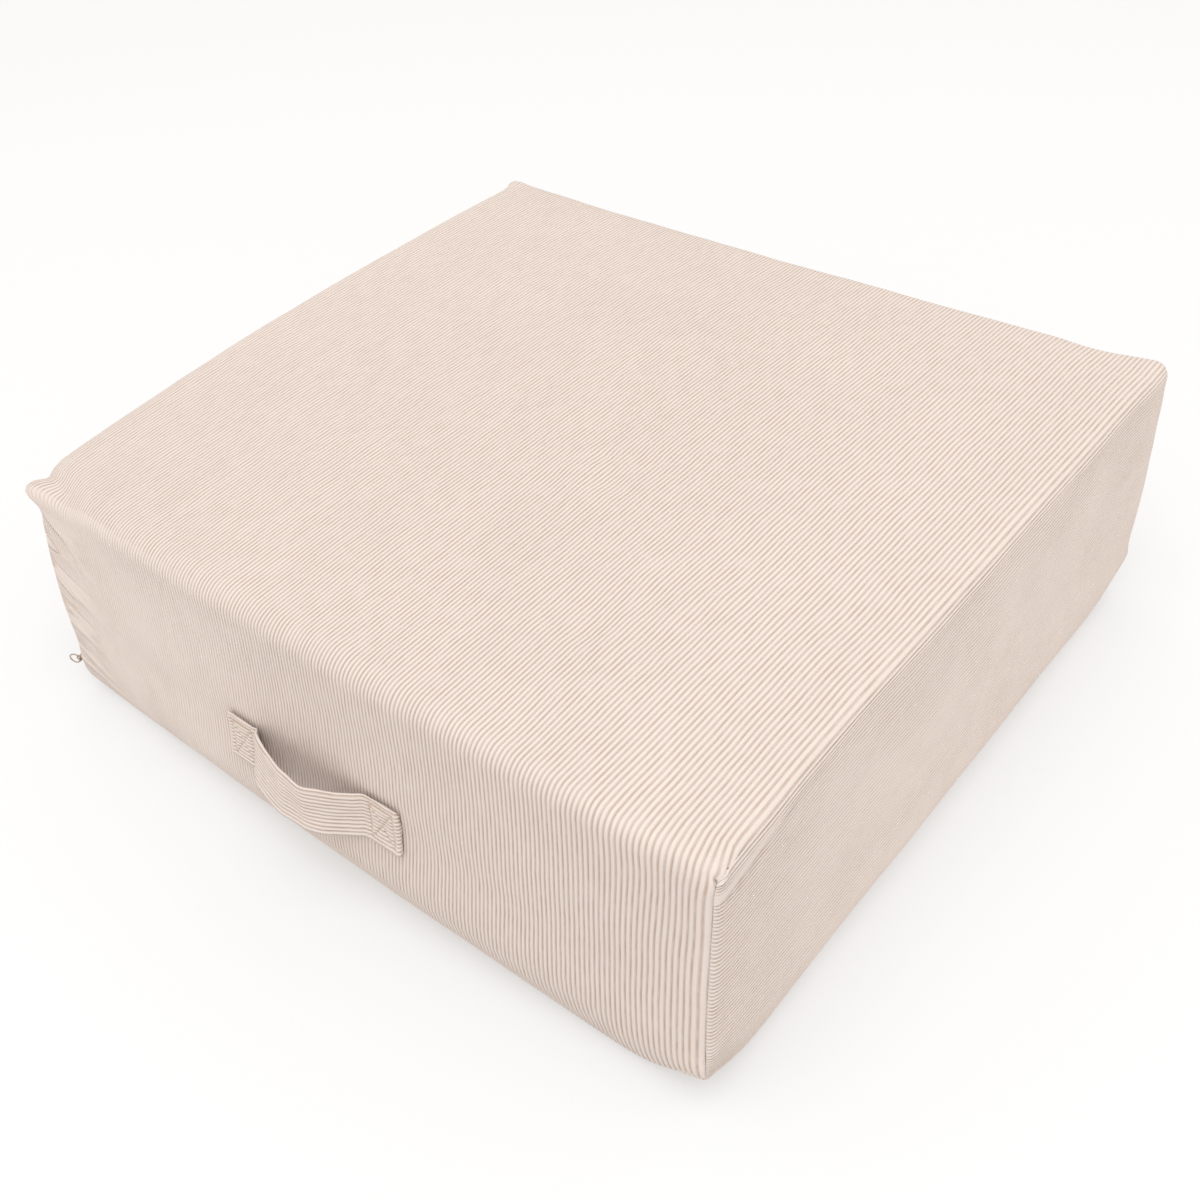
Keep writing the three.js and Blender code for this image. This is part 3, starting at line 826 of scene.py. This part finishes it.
class CUSHION_OT_cover(bpy.types.Operator):
    """Add the filled cover"""

    bl_idname = "cushion.cover"
    bl_label = "Cover"

    def execute(self, context):
        settings = context.scene.cushion_cover
        bm, places, wales, lines, rows = cloth_grid()
        panel = Panel(places, wales, lines, rows)
        panel.ease()
        at = stuffed(*panel.on_box()) * MM
        box = np.array(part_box("cushion"))
        if np.abs(np.array([at.min(0), at.max(0)]) - box).max() > SOLID_MATCH:
            raise ValueError("the cover has left the solid that it is made on")
        set_verts(bm, at)
        set_verts(bm, at + self.seam_depth(bm, panel))
        seam_bridges(bm, rows, places)
        base_panel(bm)
        bmesh.ops.recalc_face_normals(bm, faces=bm.faces)
        mesh = made_mesh(bm, "cushion_cover")
        self.texture(mesh, panel, settings)
        piece = new_piece(mesh, corduroy("corduroy", settings.crest, settings.groove))
        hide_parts("cushion")
        return {"FINISHED"}

    def seam_depth(self, bm, panel):
        """Draws the panel edges in along the corner seams."""
        bm.normal_update()
        normal = np.array([v.normal[:] for v in bm.verts])
        if normal[:, 2].sum() < 0:
            normal = -normal
        seam = np.maximum(panel.seam, 0)
        depth = sum(deep * np.exp(-((seam / reach) ** 2)) for deep, reach in SEAM_DEPTH)
        return -normal * (depth * ramp(panel.down / 7))[:, None] * MM

    def texture(self, mesh, panel, settings):
        """Raises the wales and the soft unevenness of the cloth, and maps the material to it."""
        at, normal = vectors_of(mesh, "co"), vectors_of(mesh, "normal")
        count, rest = len(panel.wale), len(at) - len(panel.wale)
        x, y, z = at[:count].T / MM
        seam = np.maximum(panel.seam, 0)
        tucked = np.where(panel.tuck > 0, 1.0, 0.8 * np.exp(-((seam / 1.2) ** 2)))
        gusset, pinch, knot = self.front_right(panel)
        strength = self.wale_strength(panel) * (1 - tucked * ramp(panel.down / 4))
        strength *= 1 - 0.92 * gusset
        relief = settings.wale_rise / MM * panel.rib * strength
        relief += hills(panel.across, panel.along, WAVES) * ramp((z - 2) / 25)
        relief += 0.4 * gusset - 0.6 * pinch + knot
        # A flat strip under the zip's band.
        flat = ramp((10 - np.abs(z - self.zip_line(y))) / 4) * (panel.on_side & (panel.across < 0))
        flat *= ramp((ZIP_LENGTH + 4 - HALF_Y - y) / 5)
        relief = relief * (1 - flat) - 0.7 * flat
        strength *= 1 - flat
        at[:count] += normal[:count] * relief[:, None] * MM
        at[:, 2] = np.maximum(at[:, 2], LOWEST)
        place_verts(mesh, at)
        # Painted shade: the colour is darkened along the seams, in the pinched folds and in the
        # knot's dips.
        hollow = 0.03 * np.exp(-((seam / 0.8) ** 2)) * ramp(panel.down / 8)
        hollow = np.clip(hollow + 0.13 * pinch + 0.25 * np.maximum(-knot, 0), 0, 1)
        # Where the cloth is creased by the left seam; the material bumps its folds and paints light
        # and shade on them.
        crease = np.exp(-np.maximum(HALF_X + x, 0) / 46) * panel.on_end * (panel.along < 0)
        crease *= ramp((panel.end - 8) / 20)
        strength = np.append(strength, np.ones(rest))
        hollow, crease = (np.append(kept, np.zeros(rest)) for kept in (hollow, crease))
        point_values(mesh, wale=strength, hollow=hollow, crease=crease)
        u = np.append(panel.wale, at[count:, 0] / MM / BASE_PITCH)
        cloth_map(mesh, u, np.append(panel.along * MM, at[count:, 1]))

    def zip_line(self, y):
        """The height of the zip's line along the left side."""
        along = np.linspace(0, 2 * HALF_Y, 120)
        seat, _ = zip_seat(along, np.zeros(120))
        return np.interp(y, seat[:, 1], seat[:, 2])

    def wale_strength(self, panel):
        """How deep the grooves are: worn smooth low on the sides and at the left."""
        across, along = panel.eased_across, panel.eased_along
        worn = 0.46 + hills(across, along, WORN)
        from_front = np.maximum(FOLD_Y + along, 0)
        fade_side = 0.3 + 0.7 * np.exp(-from_front / 220)
        fade_end = 0.25 + 0.75 * ramp((across + 240) / 180)
        band = np.exp(-((panel.down / 40) ** 2)) * np.where(panel.on_side, fade_side, fade_end)
        by_seam = np.exp(-((from_front / 95) ** 2))
        on_side = 1.12 * (worn + (1 - worn) * np.maximum(band, by_seam))
        on_front = 0.86 * (worn + (1 - worn) * np.maximum(band, ramp((across + 190) / 200)))
        back_left = ramp((0.55 * along / FOLD_Y - 0.45 * across / FOLD_X + 0.2) / 0.9)
        on_top = 0.86 - 0.08 * back_left - 0.08 * ramp(across / 250)
        return np.where(panel.on_side, on_side, np.where(panel.on_end, on_front, on_top))

    def front_right(self, panel):
        """By the front right corner: the smooth gusset, the folds under it, and the seam's knot."""
        right = panel.on_side & (panel.across > 0)
        along = np.maximum(FOLD_Y + panel.eased_along, 0)
        below = np.maximum(panel.eased_across - FOLD_X, 0)
        top = GUSSET_TOP[0] + GUSSET_TOP[1] * along
        foot = GUSSET_FOOT[0] + GUSSET_FOOT[1] * along
        gusset = ramp((below - top) / 3) * ramp((foot - below) / 2) * right
        gusset *= ramp((GUSSET_LENGTH - along) / 20)
        pinch = sum(s * np.exp(-(((below - foot - drop) / 0.9) ** 2)) for drop, s in PINCHES)
        pinch *= ramp(along / 4) * ramp((95 - along) / 50) * right
        knot = np.zeros_like(along)
        from_x, from_y = panel.eased_across - FOLD_X, panel.eased_along + FOLD_Y
        for x, y, rise, size in KNOTS:
            knot += rise * np.exp(-((from_x - x) ** 2 + (from_y - y) ** 2) / size**2)
        return gusset, pinch, knot


def zip_seat(along, rise):
    """Places over the zip's line on the left side, with the way out of the cloth there."""
    x = np.full_like(along, -HALF_X)
    y, z = -HALF_Y + along, ZIP_HEIGHT + rise
    step = 0.5
    sideways = stuffed(x, y + step, z) - stuffed(x, y - step, z)
    up = stuffed(x, y, z + step) - stuffed(x, y, z - step)
    out = np.cross(up, sideways)
    return stuffed(x, y, z), out / np.linalg.norm(out, axis=1, keepdims=True)


def strap_at(x):
    """The strap's stand-off, height and lean at places along the front, smooth through STRAP."""
    place, rows = STRAP[:, 0], STRAP[:, 1:]
    at = np.clip(np.searchsorted(place, x), 1, len(place) - 1)
    step = np.diff(rows, axis=0)
    slope = np.zeros_like(rows)
    steady = (step[:-1] + step[1:]) / (place[2:] - place[:-2])[:, None]
    slope[1:-1] = np.where(step[:-1] * step[1:] > 0, steady, 0)
    wide = (place[at] - place[at - 1])[:, None]
    t = np.clip((x - place[at - 1])[:, None] / wide, 0, 1)
    ease = ramp(t)
    ends = rows[at - 1] * (1 - ease) + rows[at] * ease
    return (ends + slope[at - 1] * wide * t * (1 - t) ** 2 - slope[at] * wide * t**2 * (1 - t)).T


class Strap:
    """The strap's course: under each sewn end, round its fold and out over the hand gap."""

    SEWN = 26.0
    TURNED = 21.0
    LAYER = 1.8
    SEAT = 0.75

    def __init__(self):
        first, last = STRAP[0, 0], STRAP[-1, 0]
        radius = self.LAYER / 2
        low = self.SEAT + radius
        turn = np.radians(np.arange(18, 163, 24))
        left, right = first + radius, last - radius
        course = [(x, low) for x in np.linspace(left + self.TURNED, left, 9)]
        course += [(left - radius * math.sin(a), low + radius * (1 - math.cos(a))) for a in turn]
        sewn = np.linspace(left, first + self.SEWN, 31)
        loose = np.linspace(first + self.SEWN, last - self.SEWN, 70)[1:-1]
        top = np.concatenate([sewn, loose, np.linspace(last - self.SEWN, right, 31)])
        self.top = slice(len(course), len(course) + len(top))
        course += [(x, self.stand(x)) for x in top]
        course += [(right + radius * math.sin(a), low + radius * (1 + math.cos(a))) for a in turn]
        course += [(x, low) for x in np.linspace(right, right - self.TURNED, 9)]
        self.x, self.off = np.array(course).T
        steps = np.hypot(np.diff(self.x), np.diff(self.off))
        self.length = np.concatenate([[0], np.cumsum(steps)])

    def free(self, x):
        """From 0 where the strap is sewn down to 1 where it is loose."""
        from_end = np.minimum(x - STRAP[0, 0], STRAP[-1, 0] - x)
        return ramp((from_end - self.SEWN + 3) / 13)

    def stand(self, x):
        """How far the middle of the strap stands off the front at x."""
        off = strap_at(np.array([x]))[0][0]
        free = float(self.free(x))
        return (self.SEAT + self.LAYER * 1.5) * (1 - free) + (3.3 + off) * free

    def thick(self, x):
        return self.LAYER + 0.7 * self.free(x)

    def point(self, station, up, out):
        """Points at a station of the course, `up` from the strap's middle and `out` of its face."""
        course = np.stack([self.x, self.off])
        along = np.gradient(course, axis=1)
        along /= np.linalg.norm(along, axis=0)
        stations = np.arange(len(self.x))
        rows = (*course, *along)
        x, off, step_x, step_off = (np.interp(station, stations, row) for row in rows)
        _, z, lean = strap_at(x)
        face = stuffed(x, np.full_like(x, -HALF_Y), z + up)
        off = off + lean * up * 2 / STRAP_WIDTH + out * step_x
        return np.stack([face[:, 0] - out * step_off, face[:, 1] - off, face[:, 2]], 1)


def box_stitches(strap):
    """The lines of a box and its cross, on each sewn end: x and height over the strap's middle."""
    first, last, half = STRAP[0, 0], STRAP[-1, 0], STRAP_WIDTH / 2 - 3.6
    outer, inner = 3.4, strap.SEWN - 2.6
    lines = []
    for start, end in ((first + outer, first + inner), (last - inner, last - outer)):
        corners = [(start, -half), (end, -half), (end, half), (start, half)]
        lines += [(corners[i], corners[(i + 1) % 4]) for i in range(4)]
        lines += [(corners[0], corners[2]), (corners[1], corners[3])]
    return lines


def line_distance(x, up, line):
    """How far points are from a stitched line."""
    (ax, az), (bx, bz) = line
    length = math.hypot(bx - ax, bz - az)
    share = np.clip(((x - ax) * (bx - ax) + (up - az) * (bz - az)) / length**2, 0, 1)
    return np.hypot(x - ax - share * (bx - ax), up - az - share * (bz - az))


class CUSHION_OT_handle(bpy.types.Operator):
    """Add the strap handle with its stitching"""

    bl_idname = "cushion.handle"
    bl_label = "Handle"

    def execute(self, context):
        settings = context.scene.cushion_handle
        strap = Strap()
        lines = box_stitches(strap)
        cover = context.scene.cushion_cover
        stitches = self.stitching(strap, lines, settings)
        finish = corduroy("strap_corduroy", cover.crest, cover.groove)
        piece = new_piece(self.strap_mesh(strap, lines), finish)
        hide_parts("handle")
        return {"FINISHED"}

    def outline(self):
        """Round the strap: place across in wales and in mm, share of the thickness, and rise."""
        half, edge, width = STRAP_WIDTH / 2, 1.3, STRAP_WIDTH - 2.6
        wales = np.append(np.add.outer(np.arange(STRAP_WALES), WALE_AT).ravel(), STRAP_WALES)
        rise = np.append(np.tile(WALE_RISE, STRAP_WALES), WALE_RISE[0])
        across = edge - half + wales / STRAP_WALES * width
        ring = [(w, a, 0.5, r * 0.95) for w, a, r in zip(wales, across, rise)]
        turn = ((0.25, half - 0.4, 0.34, 0), (0.5, half, 0, 0), (0.75, half - 0.4, -0.34, 0))
        ring += [(STRAP_WALES + w, *rest) for w, *rest in turn]
        back = np.linspace(STRAP_WALES + 1, 2 * STRAP_WALES + 1, 12)
        ring += [(w, half - edge - (w - back[0]) / STRAP_WALES * width, -0.5, 0) for w in back]
        ring += [(back[-1] + w, -a, -share, 0) for w, a, share, _ in turn]
        # The ring starts in the middle of the back, where its ends are joined out of sight.
        middle = len(wales) + len(turn) + 6
        around = back[-1] + 1
        return np.array(ring[middle:] + [(w + around, *rest) for w, *rest in ring[: middle + 1]])

    def strap_mesh(self, strap, lines):
        ring = self.outline()
        bm, column, row = flat_grid(len(ring), len(strap.x))
        layer = bm.loops.layers.uv.new("cloth")
        bm.verts.index_update()
        for face in bm.faces:
            for loop in face.loops:
                i = loop.vert.index
                loop[layer].uv = (ring[column[i], 0], strap.length[row[i]] * MM)
        _, up, share, rise = ring[column].T
        x = strap.x[row]
        outer, on_top = share > 0, (row >= strap.top.start) & (row < strap.top.stop) & (share > 0.4)
        near = np.min([line_distance(x, up, line) for line in lines], axis=0)
        pinch = np.exp(-((near / 0.9) ** 2)) * on_top
        under = ramp(np.maximum(strap.top.start - 3 - row, row - strap.top.stop - 2) / 4)
        rise = rise * (1 - 0.55 * pinch) - 0.75 * pinch
        rise += outer * 0.25 * undulation(x, up * 1.6, 9, 21) + 0.3 * undulation(x, up, 23, 22)
        up = up * (1 - 0.11 * under)
        bent = 0.5 * undulation(x, np.full_like(up, 3), 19, 23)
        up += bent + 0.3 * undulation(x, up, 8, 24) * outer
        set_verts(bm, strap.point(row.astype(float), up, share * strap.thick(x) + rise) * MM)
        close_tube(bm)
        mesh = made_mesh(bm, "handle_strap")
        whole = np.ones(len(mesh.vertices))
        point_values(mesh, wale=whole, hollow=0 * whole, crease=0 * whole)
        return mesh

    def stitching(self, strap, lines, settings):
        bm = bmesh.new()
        length = settings.stitch / MM
        stations = np.arange(strap.top.start, strap.top.stop)
        sunk = np.array([strap.LAYER / 2 - 0.42])
        for (ax, az), (bx, bz) in lines:
            run = math.hypot(bx - ax, bz - az)
            count = max(int(run / (length + 0.7)), 1)
            for i in range(count):
                middle = (i + 0.5) / count
                ends = []
                for side in (-0.5, 0.5):
                    share = middle + side * length / run
                    station = np.interp(ax + (bx - ax) * share, strap.x[stations], stations)
                    high = az + (bz - az) * share
                    place = strap.point(np.array([station]), np.array([high]), sunk)[0]
                    ends.append(Vector(place) * MM)
                start, end = ends
                turn = (end - start).to_track_quat("X", "Z").to_matrix()
                add_bead(bm, (start + end) / 2, turn, (length * 0.54, 0.36, 0.36), 8, 5)
        mesh = made_mesh(bm, "handle_stitching")
        piece = new_piece(mesh, thread_finish("thread", settings.thread))
        return piece


class CUSHION_OT_zip(bpy.types.Operator):
    """Add the zip's tape and coil, and finish its slider and pull"""

    bl_idname = "cushion.zip"
    bl_label = "Zip"

    def execute(self, context):
        settings = context.scene.cushion_zip
        tape = tape_finish("zip_tape", settings.tape)
        coil = self.coil(settings, tape)
        piece = self.tape(tape)
        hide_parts("zip_chain")
        metal = metal_finish("zip_metal", settings.metal)
        for name in ("zip_slider", "zip_pull"):
            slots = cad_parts[name].data.materials
            slots.clear()
            slots.append(metal)
        return {"FINISHED"}

    def tape(self, material):
        """The two woven edges and the strip that carries the coil, as one band."""
        stations, half = 240, ZIP_WIDTH / 2
        ring = [(-half, 0.25), (0.25 - half, 0.5), (-1.6, 0.55), (-1.1, 0.75), (0, 0.75)]
        ring += [(-rise, out) for rise, out in ring[3::-1]]
        ring += [(half - 0.25, 0), (0, 0), (0.25 - half, 0), (-half, 0.25)]
        rise, out = np.array(ring).T
        bm, column, row = flat_grid(len(ring), stations + 1)
        seat, away = zip_seat((row / stations) ** 1.5 * ZIP_LENGTH, rise[column])
        set_verts(bm, (seat + away * (ZIP_SEAT + out[column])[:, None]) * MM)
        close_tube(bm)
        return new_piece(made_mesh(bm, "zip_band"), material)

    def coil(self, settings, material):
        """The turns of the coil, laid to the left and to the right by turns."""
        bm = bmesh.new()
        pitch = settings.tooth_pitch / MM
        places = np.arange(7, ZIP_LENGTH - 2, pitch)
        aside = np.where(np.arange(len(places)) % 2, 0.45, -0.45)
        seat, away = zip_seat(places, aside)
        after, _ = zip_seat(places + 0.5, aside)
        size = (pitch * 0.36, 1.7, 0.55)
        for point, out, onward in zip(seat + away * (ZIP_SEAT + 0.95), away, after - seat):
            x_axis = Vector(onward).normalized()
            z_axis = (Vector(out) - Vector(out).project(x_axis)).normalized()
            turn = Matrix((x_axis, z_axis.cross(x_axis), z_axis)).transposed()
            add_bead(bm, Vector(point) * MM, turn, size, 6, 4)
        piece = new_piece(made_mesh(bm, "zip_coil"), material)
        return piece


class CUSHION_PT_sidebar(bpy.types.Panel):
    """The cushion's pieces, in the sidebar"""

    bl_idname = "CUSHION_PT_sidebar"
    bl_label = "Jumping Cushion"
    bl_space_type = "VIEW_3D"
    bl_region_type = "UI"
    bl_category = "Cushion"

    def draw(self, context):
        for operator in OPERATORS:
            self.layout.operator(operator.bl_idname)


OPERATORS = (CUSHION_OT_stage, CUSHION_OT_cover, CUSHION_OT_handle, CUSHION_OT_zip)
SETTINGS = {
    "cushion_cover": CoverSettings,
    "cushion_handle": HandleSettings,
    "cushion_zip": ZipSettings,
    "cushion_stage": StageSettings,
}


def register():
    for kind in (*SETTINGS.values(), *OPERATORS, CUSHION_PT_sidebar):
        bpy.utils.register_class(kind)
    for name, kind in SETTINGS.items():
        setattr(bpy.types.Scene, name, PointerProperty(type=kind))


def unregister():
    for name in SETTINGS:
        delattr(bpy.types.Scene, name)
    for kind in (CUSHION_PT_sidebar, *OPERATORS, *SETTINGS.values()):
        bpy.utils.unregister_class(kind)


def main():
    register()
    bpy.ops.cushion.stage()
    bpy.ops.cushion.cover()
    bpy.ops.cushion.handle()
    bpy.ops.cushion.zip()


if __name__ == "__main__":
    main()
